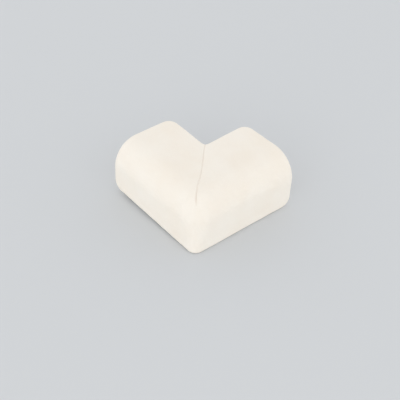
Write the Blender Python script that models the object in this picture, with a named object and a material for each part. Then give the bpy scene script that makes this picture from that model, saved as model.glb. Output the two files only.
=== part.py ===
"""Furniture corner protector: one piece of closed-cell foam, folded over an outside corner.

The foam is an L-shaped strip. Its top flange is notched and the strip is folded at the notch, so the
two arms meet in a mitred seam on top, while the side flange bends round the corner in one piece.

The origin is where the three seat faces meet, so it is the very corner that the protector covers. The
arms run along +X and +Y, the covered corner fills x > 0, y > 0 and z < 0, and +Z is up.

Only the arm along +X is shaped, up to the fold plane x = y, and a mirror adds the other arm.
Three lengths place a point of that arm, all measured from the outside of the foam:
  along  from the outer corner, along the arm
  inset  in from the outer side face
  drop   down from the top face
"""

import math
from dataclasses import dataclass
from itertools import chain

import bmesh
import bpy
from mathutils import Vector

# Driving sizes, in metres
ARM_LENGTH = 0.060            # outer corner to the end of each arm
TOP_FLANGE_WIDTH = 0.0335     # outer side face to the tip of the top flange
SIDE_FLANGE_HEIGHT = 0.028    # top face to the lower rim
FOAM_THICKNESS = 0.010        # both flanges
OUTER_FILLET = 0.013          # long edge between the top and the side face
BEND_FILLET = 0.0044          # upright edge where the side flange is bent
TIP_CORNER_ROUND = 0.005      # plan corners at the ends of the top flange
RIM_CORNER_ROUND = 0.0052     # lower corners at the ends of the side flange
NOTCH_FILLET = 0.002          # inner corner where the two tips meet
SKIN_EDGE_ROUND = 0.0012      # cut edge of the outer skin
SEAT_EDGE_ROUND = 0.0006      # cut edge of the seat faces
SEAM_HALF_WIDTH = 0.0009      # middle of the mitred seam to its shoulder
SEAM_DEPTH = 0.0006           # how far the seam sinks below the skin
SEAM_RUN_OUT = 0.004          # length over which the seam fades at the bend

# Segments that each curved stretch is cut into
FILLET_STEPS = 14
BEND_STEPS = 5
CORNER_STEPS = 5
SKIN_EDGE_STEPS = 3
SEAT_EDGE_STEPS = 2
SEAM_STEPS = 5

FOAM_COLOUR = (0.896, 0.839, 0.761, 1.0)
FOAM_ROUGHNESS = 0.62
SHARP_ANGLE = math.radians(35)

QUARTER_TURN = math.radians(90)
MITRE_ANGLE = math.radians(45)
WELD_DISTANCE = 1e-6


@dataclass
class Row:
    """A line along the arm, on the skin or on the seat faces."""

    inset: float
    drop: float
    inward: tuple            # step in inset and drop that leads into the foam
    end: float               # where the line stops, along the arm
    near_tip: float = 0.0    # 1 on the tip of the top flange, 0 away from it


def clear_scene():
    for thing in list(bpy.data.objects):
        bpy.data.objects.remove(thing, do_unlink=True)


def quarter_turn(steps):
    """Angles from 0 to 90 degrees."""
    return [QUARTER_TURN * step / steps for step in range(steps + 1)]


def foam_point(along, inset, drop):
    return Vector((along - FOAM_THICKNESS, inset - FOAM_THICKNESS, FOAM_THICKNESS - drop))


def rounded_corner(corner_round, back):
    """Rows over the rounded corner of a flange, back from its outline and starting at its free edge.

    Gives the distance in from the free edge, the end of the row, and how near it is to the edge.
    """
    for angle in quarter_turn(CORNER_STEPS):
        from_edge = corner_round - (corner_round - back) * math.cos(angle)
        end = ARM_LENGTH - corner_round + (corner_round - back) * math.sin(angle)
        yield from_edge, end, math.cos(angle)


def skin_rows(back):
    """The outside, from the flange's tip over the long fillet to the side's lower rim."""
    top = [
        Row(TOP_FLANGE_WIDTH - from_edge, 0.0, (0, 1), end, nearness)
        for from_edge, end, nearness in rounded_corner(TIP_CORNER_ROUND, back)
    ]
    fillet = [
        Row(
            OUTER_FILLET * (1 - math.sin(angle)),
            OUTER_FILLET * (1 - math.cos(angle)),
            (math.sin(angle), math.cos(angle)),
            ARM_LENGTH - back,
        )
        for angle in quarter_turn(FILLET_STEPS)
    ]
    side = [
        Row(0.0, SIDE_FLANGE_HEIGHT - from_edge, (1, 0), end)
        for from_edge, end, _ in rounded_corner(RIM_CORNER_ROUND, back)
    ]
    return top + fillet + side[::-1]


def seat_rows(back):
    """The faces that sit on the covered corner, row for row opposite the skin, with one sharp inner edge."""
    under = [
        Row(TOP_FLANGE_WIDTH - from_edge, FOAM_THICKNESS, (0, -1), end, nearness)
        for from_edge, end, nearness in rounded_corner(TIP_CORNER_ROUND, back)
    ]
    corner = [
        Row(FOAM_THICKNESS, FOAM_THICKNESS, (-1, -1), ARM_LENGTH - back)
        for _ in quarter_turn(FILLET_STEPS)
    ]
    side = [
        Row(FOAM_THICKNESS, SIDE_FLANGE_HEIGHT - from_edge, (-1, 0), end)
        for from_edge, end, _ in rounded_corner(RIM_CORNER_ROUND, back)
    ]
    return under + corner + side[::-1]


def notch_shift(from_fold, back):
    """How far the notch's fillet carries the tip outwards, at a distance from the fold plane."""
    radius = NOTCH_FILLET + back
    if from_fold * math.sqrt(2) >= radius:
        return 0.0
    return radius - (math.sqrt(radius**2 - from_fold**2) + from_fold) / math.sqrt(2)


def seam_sink(from_fold, inset, seam_depth):
    """How far the seam draws the surface in: a crease with soft shoulders that fades at the bend."""
    if from_fold >= SEAM_HALF_WIDTH or inset <= BEND_FILLET:
        return 0.0
    shoulder = (1 - from_fold / SEAM_HALF_WIDTH) ** 2
    return seam_depth * shoulder * min(1.0, (inset - BEND_FILLET) / SEAM_RUN_OUT)


def seam_columns():
    """Distances from the fold plane over the seam and the notch's fillet, closer together near it."""
    reach = max(SEAM_HALF_WIDTH, (NOTCH_FILLET + SKIN_EDGE_ROUND) / math.sqrt(2))
    return [reach * (step / SEAM_STEPS) ** 2 for step in range(1, SEAM_STEPS + 1)]


def row_points(row, back, depth, seam_depth):
    """A row from the fold plane to its end, laid into the foam by depth, with the outline moved back."""

    def section(from_fold):
        inset = row.inset + row.near_tip * notch_shift(from_fold, back)
        sunk = depth + seam_sink(from_fold, row.inset, seam_depth)
        return inset + row.inward[0] * sunk, row.drop + row.inward[1] * sunk

    inset, drop = section(0.0)
    centre = max(BEND_FILLET, inset)
    radius = centre - inset
    points = []
    for step in range(BEND_STEPS + 1):
        angle = MITRE_ANGLE * (1 - step / BEND_STEPS)
        points.append(foam_point(centre - radius * math.sin(angle), centre - radius * math.cos(angle), drop))
    for from_fold in seam_columns():
        inset, drop = section(from_fold)
        points.append(foam_point(max(BEND_FILLET, inset) + from_fold * math.sqrt(2), inset, drop))
    inset, drop = section(row.end)
    points.append(foam_point(row.end, inset, drop))
    return points


def edge_loops(make_rows, edge_round, steps, seam_depth):
    """Lines round the cut edge of a face: along the tip, down the arm's end and back along the rim.

    The first lies on the face and the last on the wall, a quarter round further.
    """
    loops = []
    for angle in quarter_turn(steps):
        back = edge_round * (1 - math.sin(angle))
        depth = edge_round * (1 - math.cos(angle))
        lines = [row_points(row, back, depth, seam_depth) for row in make_rows(back)]
        arm_end = [line[-1] for line in lines[1:-1]]
        loops.append(lines[0] + arm_end + lines[-1][::-1])
    return loops


def add_sheet(bm, lines):
    """A grid whose rows are laid along the given lines of points."""
    grid = bmesh.ops.create_grid(bm, x_segments=len(lines[0]) - 1, y_segments=len(lines) - 1)
    for vert, place in zip(grid["verts"], chain.from_iterable(lines)):
        vert.co = place


def arm_mesh():
    """The arm along +X: its skin, its seat faces, and the cut edges and walls between them."""
    skin = [row_points(row, SKIN_EDGE_ROUND, 0.0, SEAM_DEPTH) for row in skin_rows(SKIN_EDGE_ROUND)]
    seat = [row_points(row, SEAT_EDGE_ROUND, 0.0, 0.0) for row in seat_rows(SEAT_EDGE_ROUND)]
    skin_edge = edge_loops(skin_rows, SKIN_EDGE_ROUND, SKIN_EDGE_STEPS, SEAM_DEPTH)
    seat_edge = edge_loops(seat_rows, SEAT_EDGE_ROUND, SEAT_EDGE_STEPS, 0.0)

    bm = bmesh.new()
    add_sheet(bm, skin)
    add_sheet(bm, skin_edge + seat_edge[::-1])
    add_sheet(bm, seat)
    bmesh.ops.remove_doubles(bm, verts=bm.verts, dist=WELD_DISTANCE)
    bmesh.ops.recalc_face_normals(bm, faces=bm.faces)
    mesh = bpy.data.meshes.new("foam_corner")
    bm.to_mesh(mesh)
    bm.free()
    return mesh


def foam_material():
    material = bpy.data.materials.new("cream_foam")
    material.use_nodes = True
    shader = material.node_tree.nodes["Principled BSDF"]
    shader.inputs["Base Color"].default_value = FOAM_COLOUR
    shader.inputs["Roughness"].default_value = FOAM_ROUGHNESS
    shader.inputs["Metallic"].default_value = 0.0
    return material


def make_fold_plane():
    """An empty at the origin whose X axis is square to the fold plane."""
    fold_plane = bpy.data.objects.new("fold_plane", None)
    fold_plane.rotation_euler.z = -MITRE_ANGLE
    bpy.context.collection.objects.link(fold_plane)
    return fold_plane


def make_foam_corner(fold_plane):
    mesh = arm_mesh()
    mesh.shade_smooth()
    mesh.set_sharp_from_angle(angle=SHARP_ANGLE)
    mesh.materials.append(foam_material())
    foam_corner = bpy.data.objects.new("foam_corner", mesh)
    bpy.context.collection.objects.link(foam_corner)

    other_arm = foam_corner.modifiers.new("other_arm", "MIRROR")
    other_arm.mirror_object = fold_plane
    other_arm.merge_threshold = 10 * WELD_DISTANCE
    flat_faces = foam_corner.modifiers.new("flat_faces", "WEIGHTED_NORMAL")
    flat_faces.keep_sharp = True


clear_scene()
make_foam_corner(make_fold_plane())
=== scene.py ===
import math

import bpy
from mathutils import Matrix, Vector


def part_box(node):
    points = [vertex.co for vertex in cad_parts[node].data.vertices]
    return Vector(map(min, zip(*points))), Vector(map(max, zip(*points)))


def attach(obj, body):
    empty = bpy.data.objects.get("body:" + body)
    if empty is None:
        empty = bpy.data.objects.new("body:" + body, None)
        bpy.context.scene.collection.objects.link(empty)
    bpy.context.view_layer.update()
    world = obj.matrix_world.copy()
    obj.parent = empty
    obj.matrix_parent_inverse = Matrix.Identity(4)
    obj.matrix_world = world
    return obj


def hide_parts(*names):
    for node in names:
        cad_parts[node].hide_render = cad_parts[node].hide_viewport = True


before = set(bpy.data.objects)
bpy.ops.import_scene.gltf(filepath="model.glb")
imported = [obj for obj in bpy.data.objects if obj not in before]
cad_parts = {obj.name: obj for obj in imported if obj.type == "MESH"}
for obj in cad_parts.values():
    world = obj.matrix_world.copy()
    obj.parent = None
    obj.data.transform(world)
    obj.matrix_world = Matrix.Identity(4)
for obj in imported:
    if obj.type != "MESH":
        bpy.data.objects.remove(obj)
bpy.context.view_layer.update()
mm = 0.001
usualNoise = (0.3, 0.7)     # most of a noise node's values lie between these
print("frame loaded")


# Shared helpers

def addNode(tree, kind, *values, inputs=None, **settings):
    # adds a node, sets its properties, then fills or links its inputs in order, and by name
    node = tree.nodes.new(kind)
    for name, value in settings.items():
        setattr(node, name, value)
    wanted = list(zip((socket for socket in node.inputs if socket.enabled), values))
    wanted += [(node.inputs[name], value) for name, value in (inputs or {}).items()]
    for socket, value in wanted:
        if isinstance(value, bpy.types.Node):
            value = next(output for output in value.outputs if output.enabled)
        if isinstance(value, bpy.types.NodeSocket):
            tree.links.new(value, socket)
        elif value is not None:
            socket.default_value = value
    return node


def newTree(name, inputs, outputs):
    # an empty node group and the sockets of its Group Input; names without a kind are numbers
    tree = bpy.data.node_groups.new(name, "GeometryNodeTree")
    for direction, sockets in (("INPUT", inputs), ("OUTPUT", outputs)):
        kinds = sockets if isinstance(sockets, dict) else dict.fromkeys(sockets, "Float")
        for label, kind in kinds.items():
            tree.interface.new_socket(label, in_out=direction, socket_type="NodeSocket" + kind)
    return tree, addNode(tree, "NodeGroupInput").outputs


def shared(given, group):
    # the inputs that a tree has in common with a group inside it
    labels = [item.name for item in group.interface.items_tree if item.in_out == "INPUT"]
    return {label: given[label] for label in labels if label in given}


def linear(hexColour):
    # sRGB hex to linear RGBA
    parts = [int(hexColour[k:k + 2], 16) / 255 for k in (1, 3, 5)]
    return (*(c / 12.92 if c <= 0.04045 else ((c + 0.055) / 1.055) ** 2.4 for c in parts), 1.0)


# Foam: a block laid out as the strip lies in the factory, then bent to its L section and folded

low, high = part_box("foam_corner")
foam = {
    "Arm Length": high.x - low.x,        # outer corner to the end of an arm
    "Side Height": high.z - low.z,       # top face to lower rim
    "Thickness": high.z,                 # the origin is the seat's own corner
    "Flange Width": 33.5 * mm,           # outer side face to the tip
    "Outer Fillet": 13.0 * mm,           # long rounding between top and side
    "Bend Fillet": 4.4 * mm,             # upright corner where the side flange is bent, at its rim
    "Soft Bend": 13.0 * mm,              # the same corner higher up, where the closed notch draws it in
    "Soft Bend Down": 4.0 * mm,          # and how far down from the top it starts to get tighter
    "Tip Corner": 5.0 * mm,              # plan corners of the top flange
    "Rim Corner": 5.2 * mm,              # lower corners of the side flange
    "Notch Fillet": 2.0 * mm,            # where the two tips meet
    "Skin Edge": 1.3 * mm,               # cut edge of the outer skin
    "Seat Edge": 0.7 * mm,               # cut edge of the seat faces
    "Flare": 0.9 * mm,                   # how much wider the top flange gets towards each end
    "Left Rim Rise": 2.0 * mm,           # cut slightly askew: the rim rises towards this arm's end
    "Seam Half Width": 0.6 * mm,
    "Seam Depth": 0.4 * mm,
    "Seam End": 2.7 * mm,                # the crease ends this far in from the side face
    "Seam Run Out": 2.0 * mm,            # and fades out over this length
    "Seam Faintest": 0.5,                # share of its depth towards the tips, where it lies tightest
    "Seam Lean": 0.9 * mm,               # how far it strays towards the left arm
    "Lean Start": 20.5 * mm,             # it starts to stray this far in from the side face
    "Lean End": 11.0 * mm,               # and strays in full from here on
    "Seam Sway": 0.2 * mm,               # how far it wavers from side to side
    "Sway Spacing": 7.0 * mm,
    "Stray Back": 6.0 * mm,              # it comes back to the mitre over this length by the side face
    "Stray Reach": 8.0 * mm,             # the foam follows the seam this far beside it
    "Stray Depth": 4.0 * mm,             # and this far below the skin
    "Unevenness": 0.14 * mm,             # how far the skin dips between its high places
    "Dip Spacing": 11.0 * mm,
    "Closed Skin": 0.3 * mm,             # a cut face shows no cells this close to the skin
    "Open Cells": 1.5 * mm,              # and shows them in full from here on
    "Columns": 193,                      # the block's lines along both arms
    "Rows": 125,                         # across the strip
    "Layers": 17,                        # and through the foam
    "Crowding": 0.75,                    # how far they crowd towards the block's edges, 0 to 1
    "Seed": 4.0,
}
mitre = math.pi / 4     # each arm's share of the square fold


def makeCrowdEdges():
    # spaces lines closer together towards both ends of a run from 0 to 1
    tree, given = newTree("crowdEdges", ("Share", "Crowding"), ("Share",))
    crowded = addNode(tree, "ShaderNodeMapRange", given["Share"], 0.0, 1.0, 0.0, 1.0,
                      interpolation_type="SMOOTHSTEP")
    mixed = addNode(tree, "ShaderNodeMix", given["Crowding"], given["Share"], crowded)
    addNode(tree, "NodeGroupOutput", mixed)
    return tree


def makeStripSize():
    # the strip's own size at a place along it, as it was cut by hand
    tree, given = newTree(
        "stripSize",
        ("Arm Side", "Along Share", "Flange Width", "Side Height", "Outer Fillet", "Flare", "Left Rim Rise"),
        ("Flange Width", "Strip Width"),
    )
    arcForCorner = math.pi / 2 - 2      # length that a rounding saves on a square corner, per radius
    width = addNode(tree, "ShaderNodeMath", given["Flare"], given["Along Share"], given["Flange Width"],
                    operation="MULTIPLY_ADD")
    onRight = addNode(tree, "ShaderNodeMath", given["Arm Side"], 0.0, operation="GREATER_THAN")
    rise = addNode(tree, "ShaderNodeMix", onRight, given["Left Rim Rise"], 0.0)
    risen = addNode(tree, "ShaderNodeMath", rise, given["Along Share"], operation="MULTIPLY")
    sideHeight = addNode(tree, "ShaderNodeMath", given["Side Height"], risen, operation="SUBTRACT")
    flanges = addNode(tree, "ShaderNodeMath", width, sideHeight, operation="ADD")
    stripWidth = addNode(tree, "ShaderNodeMath", given["Outer Fillet"], arcForCorner, flanges,
                         operation="MULTIPLY_ADD")
    addNode(tree, "NodeGroupOutput", width, stripWidth)
    return tree


def makeSoftEdge():
    # turns the square corner between two faces into a quarter round
    # takes the distances to both faces, gives the shift away from each
    tree, given = newTree(
        "softEdge",
        ("To First", "To Second", "Radius"),
        {"Shift": "Vector", "Direction": "Vector", "Reach": "Float"},
    )
    radius = given["Radius"]
    first = addNode(tree, "ShaderNodeMapRange", given["To First"], 0.0, radius, 1.0, 0.0)
    second = addNode(tree, "ShaderNodeMapRange", given["To Second"], 0.0, radius, 1.0, 0.0)
    square = addNode(tree, "ShaderNodeCombineXYZ", first, second)
    direction = addNode(tree, "ShaderNodeVectorMath", square, operation="NORMALIZE")
    reach = addNode(tree, "ShaderNodeMath", first, second, operation="MAXIMUM")
    arc = addNode(tree, "ShaderNodeVectorMath", direction, reach, operation="SCALE")
    cut = addNode(tree, "ShaderNodeVectorMath", square, arc, operation="SUBTRACT")
    shift = addNode(tree, "ShaderNodeVectorMath", cut, radius, operation="SCALE")
    addNode(tree, "NodeGroupOutput", shift, direction, reach)
    return tree


def makeSoftStrip(softEdge):
    # rounds the corners of the strip's outline, then the cut edges along it
    # gives how far a point draws back from the arm's end, and its new place across and through the strip
    tree, given = newTree(
        "softStrip",
        ("To End", "Across", "Depth", "To Seat", "Strip Width", "Tip Corner", "Rim Corner", "Skin Edge",
         "Seat Edge"),
        ("Draw Back", "Across", "Depth"),
    )
    across, depth = given["Across"], given["Depth"]
    toRim = addNode(tree, "ShaderNodeMath", given["Strip Width"], across, operation="SUBTRACT")
    toFree = addNode(tree, "ShaderNodeMath", across, toRim, operation="MINIMUM")
    tipSide = addNode(tree, "ShaderNodeMath", across, toRim, operation="LESS_THAN")
    cornerRound = addNode(tree, "ShaderNodeMix", tipSide, given["Rim Corner"], given["Tip Corner"])
    corner = addNode(tree, "GeometryNodeGroup", given["To End"], toFree, cornerRound,
                     node_tree=softEdge).outputs
    outlineShare = addNode(tree, "ShaderNodeMath", 1.0, corner["Reach"], operation="SUBTRACT")
    toOutline = addNode(tree, "ShaderNodeMath", outlineShare, cornerRound, operation="MULTIPLY")
    skinEdge, seatEdge = (
        addNode(tree, "GeometryNodeGroup", toOutline, toFace, radius, node_tree=softEdge)
        for toFace, radius in ((depth, given["Skin Edge"]), (given["To Seat"], given["Seat Edge"]))
    )
    skinShift = addNode(tree, "ShaderNodeSeparateXYZ", skinEdge).outputs
    seatShift = addNode(tree, "ShaderNodeSeparateXYZ", seatEdge).outputs
    edgeShift = addNode(tree, "ShaderNodeMath", skinShift["X"], seatShift["X"], operation="ADD")
    sinkShift = addNode(tree, "ShaderNodeMath", skinShift["Y"], seatShift["Y"], operation="SUBTRACT")
    inward = addNode(tree, "ShaderNodeVectorMath", corner["Direction"], edgeShift, operation="SCALE")
    pull = addNode(tree, "ShaderNodeVectorMath", corner["Shift"], inward, operation="ADD")
    pullBack = addNode(tree, "ShaderNodeSeparateXYZ", pull).outputs
    way = addNode(tree, "ShaderNodeMath", tipSide, 2.0, -1.0, operation="MULTIPLY_ADD")
    softAcross = addNode(tree, "ShaderNodeMath", pullBack["Y"], way, across, operation="MULTIPLY_ADD")
    softDepth = addNode(tree, "ShaderNodeMath", depth, sinkShift, operation="ADD")
    addNode(tree, "NodeGroupOutput", pullBack["X"], softAcross, softDepth)
    return tree


def makeBendSection():
    # bends the flat strip to its L section: gives the inset from the side face and the drop from the top
    tree, given = newTree(
        "bendSection",
        ("Across", "Depth", "Flange Width", "Thickness", "Outer Fillet"),
        ("Inset", "Drop"),
    )
    quarter = math.pi / 2
    seatSoftness = 0.5      # of the inner edge, where 0 is a sharp one
    across, fillet = given["Across"], given["Outer Fillet"]
    topFlat = addNode(tree, "ShaderNodeMath", given["Flange Width"], fillet, operation="SUBTRACT")
    sideStart = addNode(tree, "ShaderNodeMath", fillet, quarter, topFlat, operation="MULTIPLY_ADD")
    turn = addNode(tree, "ShaderNodeMapRange", across, topFlat, sideStart, 0.0, quarter)
    fromSide = addNode(tree, "ShaderNodeMath", given["Flange Width"], across, operation="SUBTRACT")
    insetFlat = addNode(tree, "ShaderNodeMath", fromSide, fillet, operation="MAXIMUM")
    downSide = addNode(tree, "ShaderNodeMath", across, sideStart, operation="SUBTRACT")
    fromTop = addNode(tree, "ShaderNodeMath", downSide, fillet, operation="ADD")
    dropFlat = addNode(tree, "ShaderNodeMath", fromTop, fillet, operation="MAXIMUM")

    # the outside follows the long fillet
    sine = addNode(tree, "ShaderNodeMath", turn, operation="SINE")
    cosine = addNode(tree, "ShaderNodeMath", turn, operation="COSINE")
    sineArc = addNode(tree, "ShaderNodeMath", fillet, sine, operation="MULTIPLY")
    cosineArc = addNode(tree, "ShaderNodeMath", fillet, cosine, operation="MULTIPLY")
    skinInset = addNode(tree, "ShaderNodeMath", insetFlat, sineArc, operation="SUBTRACT")
    skinDrop = addNode(tree, "ShaderNodeMath", dropFlat, cosineArc, operation="SUBTRACT")

    # the inside runs straight into its corner, which is only a little soft
    toSide = addNode(tree, "ShaderNodeMath", turn, 2 / quarter, -1.0, operation="MULTIPLY_ADD")
    toTop = addNode(tree, "ShaderNodeMath", toSide, -1.0, operation="MULTIPLY")
    topShare = addNode(tree, "ShaderNodeMath", toTop, 0.0, seatSoftness, operation="SMOOTH_MAX")
    sideShare = addNode(tree, "ShaderNodeMath", toSide, 0.0, seatSoftness, operation="SMOOTH_MAX")
    topGap = addNode(tree, "ShaderNodeMath", topShare, 1.0, operation="SUBTRACT")
    sideGap = addNode(tree, "ShaderNodeMath", sideShare, 1.0, operation="SUBTRACT")
    step = addNode(tree, "ShaderNodeMath", fillet, given["Thickness"], operation="SUBTRACT")
    seatInset = addNode(tree, "ShaderNodeMath", step, topGap, insetFlat, operation="MULTIPLY_ADD")
    seatDrop = addNode(tree, "ShaderNodeMath", step, sideGap, dropFlat, operation="MULTIPLY_ADD")

    share = addNode(tree, "ShaderNodeMath", given["Depth"], given["Thickness"], operation="DIVIDE")
    inset = addNode(tree, "ShaderNodeMix", share, skinInset, seatInset)
    drop = addNode(tree, "ShaderNodeMix", share, skinDrop, seatDrop)
    addNode(tree, "NodeGroupOutput", inset, drop)
    return tree


def makeBendRadius():
    # the radius of the upright corner on the skin, and the small one that keeps the seat's corner sharp
    tree, given = newTree(
        "bendRadius",
        ("Drop", "Depth", "Thickness", "Side Height", "Bend Fillet", "Soft Bend", "Soft Bend Down"),
        ("Bend Fillet",),
    )
    high = addNode(tree, "ShaderNodeMapRange", given["Drop"], given["Soft Bend Down"], given["Side Height"],
                   1.0, 0.0)
    outside = addNode(tree, "ShaderNodeMapRange", given["Depth"], 0.0, given["Thickness"], 1.0, 0.0)
    share = addNode(tree, "ShaderNodeMath", high, outside, operation="MULTIPLY")
    radius = addNode(tree, "ShaderNodeMix", share, given["Bend Fillet"], given["Soft Bend"])
    addNode(tree, "NodeGroupOutput", radius)
    return tree


def makeRowLength():
    # how long a line along one arm is, from the fold to the end, with its share of the bend
    tree, given = newTree(
        "rowLength",
        ("Inset", "Arm Length", "Bend Fillet"),
        ("Centre", "Radius", "Bend", "Length"),
    )
    tiny = 1e-6     # keeps the radius above zero, because it is divided by later
    centre = addNode(tree, "ShaderNodeMath", given["Inset"], given["Bend Fillet"], operation="MAXIMUM")
    gap = addNode(tree, "ShaderNodeMath", centre, given["Inset"], operation="SUBTRACT")
    radius = addNode(tree, "ShaderNodeMath", gap, tiny, operation="MAXIMUM")
    bend = addNode(tree, "ShaderNodeMath", radius, mitre, operation="MULTIPLY")
    straight = addNode(tree, "ShaderNodeMath", given["Arm Length"], centre, operation="SUBTRACT")
    length = addNode(tree, "ShaderNodeMath", straight, bend, operation="ADD")
    addNode(tree, "NodeGroupOutput", centre, radius, bend, length)
    return tree


def makeNotch():
    # carries the tips out to a fillet where the two arms meet
    tree, given = newTree("notch", ("From Fold", "From Tip", "Radius", "Fade"), ("Shift",))
    radius = addNode(tree, "ShaderNodeMath", given["Radius"], given["From Tip"], operation="ADD")
    touch = addNode(tree, "ShaderNodeMath", radius, math.cos(mitre), operation="MULTIPLY")
    reach = addNode(tree, "ShaderNodeMath", given["From Fold"], touch, operation="MINIMUM")
    ratio = addNode(tree, "ShaderNodeMath", reach, radius, operation="DIVIDE")
    angle = addNode(tree, "ShaderNodeMath", ratio, operation="ARCSINE")
    rise = addNode(tree, "ShaderNodeMath", angle, operation="COSINE")
    both = addNode(tree, "ShaderNodeMath", rise, ratio, operation="ADD")
    share = addNode(tree, "ShaderNodeMath", both, -math.cos(mitre), 1.0, operation="MULTIPLY_ADD")
    bulge = addNode(tree, "ShaderNodeMath", share, radius, operation="MULTIPLY")
    fade = addNode(tree, "ShaderNodeMapRange", given["From Tip"], 0.0, given["Fade"], 1.0, 0.0,
                   interpolation_type="SMOOTHSTEP")
    shift = addNode(tree, "ShaderNodeMath", bulge, fade, operation="MULTIPLY")
    addNode(tree, "NodeGroupOutput", shift)
    return tree


def makeSeamStray():
    # the two cut edges were pressed together by hand, so the seam strays from the mitre on the skin
    tree, given = newTree(
        "seamStray",
        ("Run", "Inset", "Depth", "Seam Lean", "Lean Start", "Lean End", "Seam Sway", "Sway Spacing",
         "Stray Back", "Stray Reach", "Stray Depth", "Seed"),
        ("Stray",),
    )
    inset = given["Inset"]
    leanShare = addNode(tree, "ShaderNodeMapRange", inset, given["Lean Start"], given["Lean End"], 0.0, 1.0,
                        interpolation_type="SMOOTHSTEP")
    line = addNode(tree, "ShaderNodeCombineXYZ", inset)
    perMetre = addNode(tree, "ShaderNodeMath", 1.0, given["Sway Spacing"], operation="DIVIDE")
    sway = addNode(tree, "ShaderNodeTexNoise", noise_dimensions="4D",
                   inputs={"Vector": line, "W": given["Seed"], "Scale": perMetre, "Detail": 1.0})
    swayShare = addNode(tree, "ShaderNodeMapRange", sway, *usualNoise, -1.0, 1.0)
    swayLength = addNode(tree, "ShaderNodeMath", swayShare, given["Seam Sway"], operation="MULTIPLY")
    stray = addNode(tree, "ShaderNodeMath", leanShare, given["Seam Lean"], swayLength,
                    operation="MULTIPLY_ADD")
    for distance, reach, ends in (
        (given["Run"], given["Stray Reach"], (1.0, 0.0)),
        (given["Depth"], given["Stray Depth"], (1.0, 0.0)),
        (inset, given["Stray Back"], (0.0, 1.0)),
    ):
        fade = addNode(tree, "ShaderNodeMapRange", distance, 0.0, reach, *ends,
                       interpolation_type="SMOOTHSTEP")
        stray = addNode(tree, "ShaderNodeMath", stray, fade, operation="MULTIPLY")
    addNode(tree, "NodeGroupOutput", stray)
    return tree


def makeSeamShare():
    # how much of its full depth the seam's crease has at a place, from 0 to 1
    tree, given = newTree(
        "seamShare",
        ("From Fold", "Inset", "Drop", "Thickness", "Lean End", "Seam Half Width", "Seam End",
         "Seam Run Out", "Seam Faintest"),
        ("Share",),
    )
    inset, seamEnd, runOut = given["Inset"], given["Seam End"], given["Seam Run Out"]
    shoulder = addNode(tree, "ShaderNodeMapRange", given["From Fold"], 0.0, given["Seam Half Width"],
                       1.0, 0.0)
    share = addNode(tree, "ShaderNodeMath", shoulder, 2.0, operation="POWER")
    fadeStart = addNode(tree, "ShaderNodeMath", seamEnd, runOut, operation="ADD")
    seatEnd = addNode(tree, "ShaderNodeMath", given["Thickness"], runOut, operation="ADD")
    for place, start, end, atStart, atEnd in (
        (inset, given["Lean End"], fadeStart, given["Seam Faintest"], 1.0),
        (inset, seamEnd, fadeStart, 0.0, 1.0),
        (given["Drop"], given["Thickness"], seatEnd, 1.0, 0.0),
    ):
        fade = addNode(tree, "ShaderNodeMapRange", place, start, end, atStart, atEnd)
        share = addNode(tree, "ShaderNodeMath", share, fade, operation="MULTIPLY")
    addNode(tree, "NodeGroupOutput", share)
    return tree


def makeFoldCorner(rowLength):
    # folds the straight strip at the mitre and round the bend, and puts its seat's corner at the origin
    # the run along the strip is counted from the fold: above zero on the arm along X, below on the other
    tree, given = newTree(
        "foldCorner",
        ("Run", "Inset", "Drop", "Arm Length", "Bend Fillet", "Thickness"),
        {"Position": "Vector"},
    )
    row = addNode(tree, "GeometryNodeGroup", node_tree=rowLength, inputs=shared(given, rowLength)).outputs
    run = addNode(tree, "ShaderNodeMath", given["Run"], operation="ABSOLUTE")
    turned = addNode(tree, "ShaderNodeMath", run, row["Radius"], operation="DIVIDE")
    left = addNode(tree, "ShaderNodeMath", mitre, turned, operation="SUBTRACT")
    turn = addNode(tree, "ShaderNodeMath", left, 0.0, operation="MAXIMUM")
    past = addNode(tree, "ShaderNodeMath", run, row["Bend"], operation="SUBTRACT")
    straight = addNode(tree, "ShaderNodeMath", past, 0.0, operation="MAXIMUM")
    sine = addNode(tree, "ShaderNodeMath", turn, operation="SINE")
    cosine = addNode(tree, "ShaderNodeMath", turn, operation="COSINE")
    back = addNode(tree, "ShaderNodeMath", row["Radius"], sine, operation="MULTIPLY")
    side = addNode(tree, "ShaderNodeMath", row["Radius"], cosine, operation="MULTIPLY")
    bendEnd = addNode(tree, "ShaderNodeMath", row["Centre"], straight, operation="ADD")
    along = addNode(tree, "ShaderNodeMath", bendEnd, back, operation="SUBTRACT")
    inset = addNode(tree, "ShaderNodeMath", row["Centre"], side, operation="SUBTRACT")
    height = addNode(tree, "ShaderNodeMath", given["Drop"], -1.0, operation="MULTIPLY")
    armX = addNode(tree, "ShaderNodeCombineXYZ", along, inset, height)
    armY = addNode(tree, "ShaderNodeCombineXYZ", inset, along, height)
    onArmX = addNode(tree, "ShaderNodeMath", given["Run"], 0.0, operation="GREATER_THAN")
    folded = addNode(tree, "ShaderNodeMix", onArmX, armY, armX, data_type="VECTOR")
    outer = addNode(tree, "ShaderNodeMath", given["Thickness"], -1.0, operation="MULTIPLY")
    corner = addNode(tree, "ShaderNodeCombineXYZ", outer, outer, given["Thickness"])
    position = addNode(tree, "ShaderNodeVectorMath", folded, corner, operation="ADD")
    addNode(tree, "NodeGroupOutput", position)
    return tree


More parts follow.
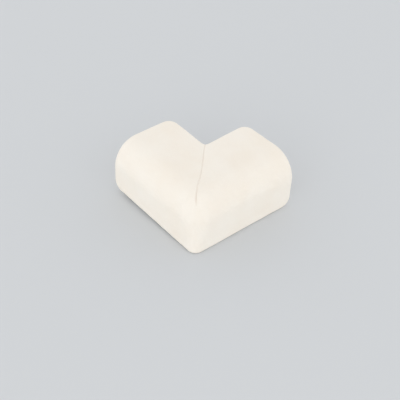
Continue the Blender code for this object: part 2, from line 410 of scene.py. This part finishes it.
def makeSinkSkin():
    # the crease and the uneven skin only ever sink, so the foam stays inside its size
    tree, given = newTree(
        "sinkSkin",
        {"Geometry": "Geometry", "Seam Depth": "Float", "Unevenness": "Float", "Dip Spacing": "Float",
         "Seed": "Float"},
        {"Geometry": "Geometry"},
    )
    place = addNode(tree, "GeometryNodeInputPosition")
    perMetre = addNode(tree, "ShaderNodeMath", 1.0, given["Dip Spacing"], operation="DIVIDE")
    dips = addNode(tree, "ShaderNodeTexNoise", noise_dimensions="4D",
                   inputs={"Vector": place, "W": given["Seed"], "Scale": perMetre, "Detail": 2.0,
                           "Roughness": 0.45})
    dipDepth = addNode(tree, "ShaderNodeMapRange", dips, *usualNoise, 0.0, given["Unevenness"])
    seam = addNode(tree, "GeometryNodeInputNamedAttribute", "seam", data_type="FLOAT")
    seamDepth = addNode(tree, "ShaderNodeMath", seam, given["Seam Depth"], operation="MULTIPLY")
    sink = addNode(tree, "ShaderNodeMath", dipDepth, seamDepth, operation="ADD")
    inward = addNode(tree, "ShaderNodeMath", sink, -1.0, operation="MULTIPLY")
    normal = addNode(tree, "GeometryNodeInputNormal")
    offset = addNode(tree, "ShaderNodeVectorMath", normal, inward, operation="SCALE")
    sunk = addNode(tree, "GeometryNodeSetPosition", given["Geometry"], None, None, offset)
    addNode(tree, "NodeGroupOutput", sunk)
    return tree


def makeFoamTree():
    kinds = {label: "Int" if isinstance(value, int) else "Float" for label, value in foam.items()}
    tree, given = newTree("foldedFoam", {**kinds, "Foam": "Material"}, {"Geometry": "Geometry"})
    rowLength = makeRowLength()

    # the block: X runs along both arms, Y across the strip from tip to rim, Z through the foam
    block = addNode(tree, "GeometryNodeMeshCube", (2.0, 1.0, 1.0),
                    given["Columns"], given["Rows"], given["Layers"])
    place = addNode(tree, "ShaderNodeSeparateXYZ", addNode(tree, "GeometryNodeInputPosition")).outputs
    armSide = place["X"]
    fromFoldShare = addNode(tree, "ShaderNodeMath", armSide, operation="ABSOLUTE")
    fromTipShare = addNode(tree, "ShaderNodeMath", 0.5, place["Y"], operation="SUBTRACT")
    fromSkinShare = addNode(tree, "ShaderNodeMath", 0.5, place["Z"], operation="SUBTRACT")
    crowdEdges = makeCrowdEdges()
    alongShare, acrossShare, depthShare = (
        addNode(tree, "GeometryNodeGroup", share, given["Crowding"], node_tree=crowdEdges)
        for share in (fromFoldShare, fromTipShare, fromSkinShare)
    )

    # its size as a flat strip
    stripSize = makeStripSize()
    size = addNode(tree, "GeometryNodeGroup", armSide, alongShare, node_tree=stripSize,
                   inputs=shared(given, stripSize)).outputs
    across = addNode(tree, "ShaderNodeMath", acrossShare, size["Strip Width"], operation="MULTIPLY")
    depth = addNode(tree, "ShaderNodeMath", depthShare, given["Thickness"], operation="MULTIPLY")
    toSeat = addNode(tree, "ShaderNodeMath", given["Thickness"], depth, operation="SUBTRACT")

    # soft corners and cut edges, from how far each point would be from the arm's end once bent
    bendSection = makeBendSection()
    section = {**shared(given, bendSection), "Flange Width": size["Flange Width"]}
    square = addNode(tree, "GeometryNodeGroup", across, depth, node_tree=bendSection,
                     inputs=section).outputs
    bendRadius = makeBendRadius()
    radius = addNode(tree, "GeometryNodeGroup", square["Drop"], depth, node_tree=bendRadius,
                     inputs=shared(given, bendRadius))
    row = addNode(tree, "GeometryNodeGroup", square["Inset"], given["Arm Length"], radius,
                  node_tree=rowLength).outputs
    leftShare = addNode(tree, "ShaderNodeMath", 1.0, alongShare, operation="SUBTRACT")
    toEnd = addNode(tree, "ShaderNodeMath", leftShare, row["Length"], operation="MULTIPLY")
    softStrip = makeSoftStrip(makeSoftEdge())
    soft = addNode(tree, "GeometryNodeGroup", toEnd, across, depth, toSeat, size["Strip Width"],
                   node_tree=softStrip, inputs=shared(given, softStrip)).outputs

    # bent to the L section, with the notch filleted
    bent = addNode(tree, "GeometryNodeGroup", soft["Across"], soft["Depth"], node_tree=bendSection,
                   inputs=section).outputs
    radius = addNode(tree, "GeometryNodeGroup", bent["Drop"], soft["Depth"], node_tree=bendRadius,
                     inputs=shared(given, bendRadius))
    row = addNode(tree, "GeometryNodeGroup", bent["Inset"], given["Arm Length"], radius,
                  node_tree=rowLength).outputs
    wholeRun = addNode(tree, "ShaderNodeMath", row["Length"], alongShare, operation="MULTIPLY")
    run = addNode(tree, "ShaderNodeMath", wholeRun, soft["Draw Back"], operation="SUBTRACT")
    fromFold = addNode(tree, "ShaderNodeMath", run, math.cos(mitre), operation="MULTIPLY")
    notchShift = addNode(tree, "GeometryNodeGroup", fromFold, soft["Across"], given["Notch Fillet"],
                         given["Tip Corner"], node_tree=makeNotch())
    inset = addNode(tree, "ShaderNodeMath", bent["Inset"], notchShift, operation="ADD")

    # folded, with the seam a little astray
    seamStray = makeSeamStray()
    stray = addNode(tree, "GeometryNodeGroup", run, inset, soft["Depth"], node_tree=seamStray,
                    inputs=shared(given, seamStray))
    side = addNode(tree, "ShaderNodeMath", armSide, operation="SIGN")
    signedRun = addNode(tree, "ShaderNodeMath", run, side, operation="MULTIPLY")
    strayedRun = addNode(tree, "ShaderNodeMath", signedRun, stray, operation="SUBTRACT")
    foldCorner = makeFoldCorner(rowLength)
    folded = addNode(tree, "GeometryNodeGroup", strayedRun, inset, bent["Drop"], node_tree=foldCorner,
                     inputs={**shared(given, foldCorner), "Bend Fillet": radius})

    # what the finish needs later: the place on the flat strip, the seam and the cut faces
    strip = addNode(tree, "ShaderNodeCombineXYZ", soft["Across"], signedRun, soft["Depth"])
    seamShare = makeSeamShare()
    seam = addNode(tree, "GeometryNodeGroup", fromFold, inset, bent["Drop"], node_tree=seamShare,
                   inputs=shared(given, seamShare))
    toFace = addNode(tree, "ShaderNodeMath", soft["Depth"], toSeat, operation="MINIMUM")
    cutFace = addNode(tree, "ShaderNodeMapRange", toFace, given["Closed Skin"], given["Open Cells"], 0.0, 1.0)
    geometry = block
    for label, kind, value in (
        ("strip", "FLOAT_VECTOR", strip), ("seam", "FLOAT", seam), ("cutFace", "FLOAT", cutFace),
    ):
        geometry = addNode(tree, "GeometryNodeStoreNamedAttribute", geometry, None, label, value,
                           data_type=kind, domain="POINT")

    geometry = addNode(tree, "GeometryNodeSetPosition", geometry, None, folded)
    sinkSkin = makeSinkSkin()
    geometry = addNode(tree, "GeometryNodeGroup", geometry, node_tree=sinkSkin,
                       inputs=shared(given, sinkSkin))
    geometry = addNode(tree, "GeometryNodeSetShadeSmooth", geometry)
    geometry = addNode(tree, "GeometryNodeRealizeInstances", geometry)
    geometry = addNode(tree, "GeometryNodeSetMaterial", geometry, None, given["Foam"])
    addNode(tree, "NodeGroupOutput", geometry)
    return tree


# Nitrile foam rubber, extruded as a sheet and cut by a die: closed cells under a thin skin, so it looks
# matte, soft and faintly pebbled, with no gloss. The cut faces show coarser open cells and are duller.

foamFinish = {
    "skin": "#F6F0E6",
    "warmPatch": "#F4ECE0",
    "paintedSeamShade": "#E6DBCE",      # painted shade: the skin drawn darker along the closed seam's crease
    # painted shade in the hollow middle of each open cell on the cut faces
    "paintedPoreShade": "#EDE4D8",
    "skinRoughness": 0.72,
    "cutRoughness": 0.86,
    "ior": 1.5,
    "sheen": 0.08,               # the skin's faint bloom
    "sheenRoughness": 0.5,
    "patch": 14.0,               # mm, faint warm patches
    "patchRange": (0.35, 0.7),   # noise values where a patch starts and is at its warmest
    "streak": (0.9, 45.0),       # mm, drawn lines of the extrusion, across and along the strip
    "pebble": 1.1,               # mm
    "cell": 0.4,                 # mm, cells felt through the skin
    "cutCell": 0.45,             # mm, open cells on the cut faces
    "poreRange": (0.1, 0.5),     # from a cell's middle, in shares of its size, where its painted shade fades
    "streakRelief": 0.04,        # mm, as are the next three
    "pebbleRelief": 0.14,
    "cellRelief": 0.06,
    "cutRelief": 0.12,
}


def makeNitrileFoam():
    material = bpy.data.materials.new("dieCutNitrileFoam")
    material.use_nodes = True
    tree = material.node_tree
    tree.nodes.clear()
    place = addNode(tree, "ShaderNodeTexCoord").outputs["Object"]
    strip = addNode(tree, "ShaderNodeAttribute", attribute_name="strip").outputs["Vector"]
    seam = addNode(tree, "ShaderNodeAttribute", attribute_name="seam").outputs["Fac"]
    cutFace = addNode(tree, "ShaderNodeAttribute", attribute_name="cutFace").outputs["Fac"]
    perMetre = {name: 1000 / foamFinish[name] for name in ("patch", "pebble", "cell", "cutCell")}
    acrossStrip, alongStrip = (1000 / spacing for spacing in foamFinish["streak"])

    patches, pebbles, cells = (
        addNode(tree, "ShaderNodeTexNoise",
                inputs={"Vector": place, "Scale": perMetre[name], "Detail": detail})
        for name, detail in (("patch", 3.0), ("pebble", 1.0), ("cell", 1.0))
    )
    cutCells = addNode(tree, "ShaderNodeTexVoronoi", inputs={"Vector": place, "Scale": perMetre["cutCell"]})
    drawn = addNode(tree, "ShaderNodeMapping", strip,
                    inputs={"Scale": (acrossStrip, alongStrip, acrossStrip)})
    streaks = addNode(tree, "ShaderNodeTexNoise", inputs={"Vector": drawn, "Scale": 1.0, "Detail": 1.0})

    # colour: warm patches on the skin, painted shade in the open cells on the cut faces, and painted shade
    # along the seam's crease
    patchShare = addNode(tree, "ShaderNodeMapRange", patches, *foamFinish["patchRange"], 0.0, 1.0)
    fromCell = cutCells.outputs["Distance"]
    hollow = addNode(tree, "ShaderNodeMapRange", fromCell, *foamFinish["poreRange"], 1.0, 0.0)
    paintedPoreShade = addNode(tree, "ShaderNodeMath", hollow, cutFace, operation="MULTIPLY")
    colour = linear(foamFinish["skin"])
    # the pore and seam tints are painted shade: darker in the open cells' hollows and along the seam's crease
    for share, tint in ((patchShare, "warmPatch"), (paintedPoreShade, "paintedPoreShade"), (seam, "paintedSeamShade")):
        colour = addNode(tree, "ShaderNodeMix", share, colour, linear(foamFinish[tint]), data_type="RGBA")

    # relief, added up in mm
    skinRelief = addNode(tree, "ShaderNodeMath", pebbles, foamFinish["pebbleRelief"], operation="MULTIPLY")
    for texture, relief in ((cells, "cellRelief"), (streaks, "streakRelief")):
        skinRelief = addNode(tree, "ShaderNodeMath", texture, foamFinish[relief], skinRelief,
                             operation="MULTIPLY_ADD")
    cutRelief = addNode(tree, "ShaderNodeMath", fromCell, foamFinish["cutRelief"], operation="MULTIPLY")
    relief = addNode(tree, "ShaderNodeMix", cutFace, skinRelief, cutRelief)
    bump = addNode(tree, "ShaderNodeBump", inputs={"Height": relief, "Distance": mm, "Strength": 1.0})
    roughness = addNode(tree, "ShaderNodeMix", cutFace, foamFinish["skinRoughness"],
                        foamFinish["cutRoughness"])

    shader = addNode(tree, "ShaderNodeBsdfPrincipled", inputs={
        "Base Color": colour, "Roughness": roughness, "Normal": bump, "IOR": foamFinish["ior"],
        "Sheen Weight": foamFinish["sheen"], "Sheen Roughness": foamFinish["sheenRoughness"],
    })
    addNode(tree, "ShaderNodeOutputMaterial", shader)
    return material


def makeFoamCorner():
    block = bpy.data.meshes.new("foamCornerBlock")
    holder = bpy.data.objects.new("foamCorner", block)
    bpy.context.scene.collection.objects.link(holder)
    tree = makeFoamTree()
    modifier = holder.modifiers.new("foldedFoam", "NODES")
    modifier.node_group = tree
    values = {**foam, "Foam": makeNitrileFoam()}
    for item in tree.interface.items_tree:
        if item.in_out == "INPUT":
            modifier[item.identifier] = values[item.name]
    depsgraph = bpy.context.evaluated_depsgraph_get()
    mesh = bpy.data.meshes.new_from_object(holder.evaluated_get(depsgraph), depsgraph=depsgraph)
    mesh.name = "foamCorner"
    mesh.materials.pop(index=0)     # the block's own empty slot
    holder.modifiers.clear()
    holder.data = mesh
    bpy.data.meshes.remove(block)
    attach(holder, "root")
    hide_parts("foam_corner")
    return holder


foamCorner = makeFoamCorner()
print("foam corner folded:", len(foamCorner.data.polygons), "faces")


# Floor and light

# Painted board under the piece: flat and matt, so that it takes a soft shadow and shows no shine
stage = {
    "floor": "#D2D5D8",
    "roughness": 0.9,
    "size": 4.0,         # m
    "mottle": 0.02,      # share of white in the floor's palest patches
    "mottleSize": 0.5,   # m
    "zenith": 0.612,     # the sky is brighter low down, like a ring of softboxes, so the sides match the top
    "horizon": 1.67,
}


def makeFloor():
    mesh = bpy.data.meshes.new("floor")
    half = stage["size"] / 2
    corners = [(x * half, y * half, low.z) for x, y in ((-1, -1), (1, -1), (1, 1), (-1, 1))]
    mesh.from_pydata(corners, [], [(0, 1, 2, 3)])
    floor = bpy.data.objects.new("floor", mesh)
    bpy.context.scene.collection.objects.link(floor)
    material = bpy.data.materials.new("paintedFloor")
    material.use_nodes = True
    tree = material.node_tree
    tree.nodes.clear()
    place = addNode(tree, "ShaderNodeTexCoord").outputs["Object"]
    tone = addNode(tree, "ShaderNodeTexNoise", inputs={"Vector": place, "Scale": 1 / stage["mottleSize"]})
    share = addNode(tree, "ShaderNodeMapRange", tone, *usualNoise, 0.0, stage["mottle"])
    colour = addNode(tree, "ShaderNodeMix", share, linear(stage["floor"]), (1, 1, 1, 1), data_type="RGBA")
    shader = addNode(tree, "ShaderNodeBsdfPrincipled",
                     inputs={"Base Color": colour, "Roughness": stage["roughness"]})
    addNode(tree, "ShaderNodeOutputMaterial", shader)
    mesh.materials.append(material)


lamps = {
    "key": {"from": (-1.2, -0.56, 0.36), "size": 0.8, "watts": 1.24},
}


def makeLamps():
    for name, lamp in lamps.items():
        light = bpy.data.lights.new(name, "AREA")
        light.shape = "DISK"
        light.size = lamp["size"]
        light.energy = lamp["watts"]
        holder = bpy.data.objects.new(name, light)
        holder.location = lamp["from"]
        holder.rotation_euler = (-Vector(lamp["from"])).to_track_quat("-Z", "Y").to_euler()
        bpy.context.scene.collection.objects.link(holder)


def makeSky():
    world = bpy.data.worlds.new("studio")
    bpy.context.scene.world = world
    world.use_nodes = True
    tree = world.node_tree
    tree.nodes.clear()
    rays = addNode(tree, "ShaderNodeLightPath").outputs
    seenRay = rays["Is Camera Ray"]
    for name in ("Is Glossy Ray", "Is Transmission Ray"):
        seenRay = addNode(tree, "ShaderNodeMath", seenRay, rays[name], operation="MAXIMUM")
    direction = addNode(tree, "ShaderNodeSeparateXYZ", addNode(tree, "ShaderNodeTexCoord")).outputs["Z"]
    strength = addNode(tree, "ShaderNodeMapRange", direction, 0.0, 1.0, stage["horizon"], stage["zenith"])
    light = addNode(tree, "ShaderNodeBackground", (1.0, 1.0, 1.0, 1.0), strength)
    seen = addNode(tree, "ShaderNodeBackground", linear(stage["floor"]), 1.0)
    mixed = addNode(tree, "ShaderNodeMixShader", seenRay, light, seen)
    addNode(tree, "ShaderNodeOutputWorld", mixed)


makeFloor()
makeLamps()
makeSky()
print("floor and light placed")


# Camera, matched to the photograph's outline

view = {
    "target": (10 * mm, 10 * mm, -5 * mm),
    "distance": 430.9 * mm,
    "azimuth": 228.31,      # degrees; 225 looks straight at the folded corner
    "elevation": 39.96,
    "roll": 2.6,
    "lens": 84.04,
    "sensor": 36.0,
    "shift": (-0.001, -0.01305),
    "nearest": 10 * mm,
}


def makeCamera():
    camera = bpy.data.objects.new("camera", bpy.data.cameras.new("camera"))
    camera.data.lens = view["lens"]
    camera.data.sensor_width = view["sensor"]
    camera.data.shift_x, camera.data.shift_y = view["shift"]
    camera.data.clip_start = view["nearest"]
    turn, rise = math.radians(view["azimuth"]), math.radians(view["elevation"])
    away = Vector((math.cos(rise) * math.cos(turn), math.cos(rise) * math.sin(turn), math.sin(rise)))
    place = Matrix.Translation(Vector(view["target"]) + away * view["distance"])
    facing = away.to_track_quat("Z", "Y").to_matrix().to_4x4()
    camera.matrix_world = place @ facing @ Matrix.Rotation(math.radians(view["roll"]), 4, "Z")
    bpy.context.scene.collection.objects.link(camera)
    bpy.context.scene.camera = camera


makeCamera()
bpy.context.scene.view_settings.view_transform = "Standard"
print("camera placed")
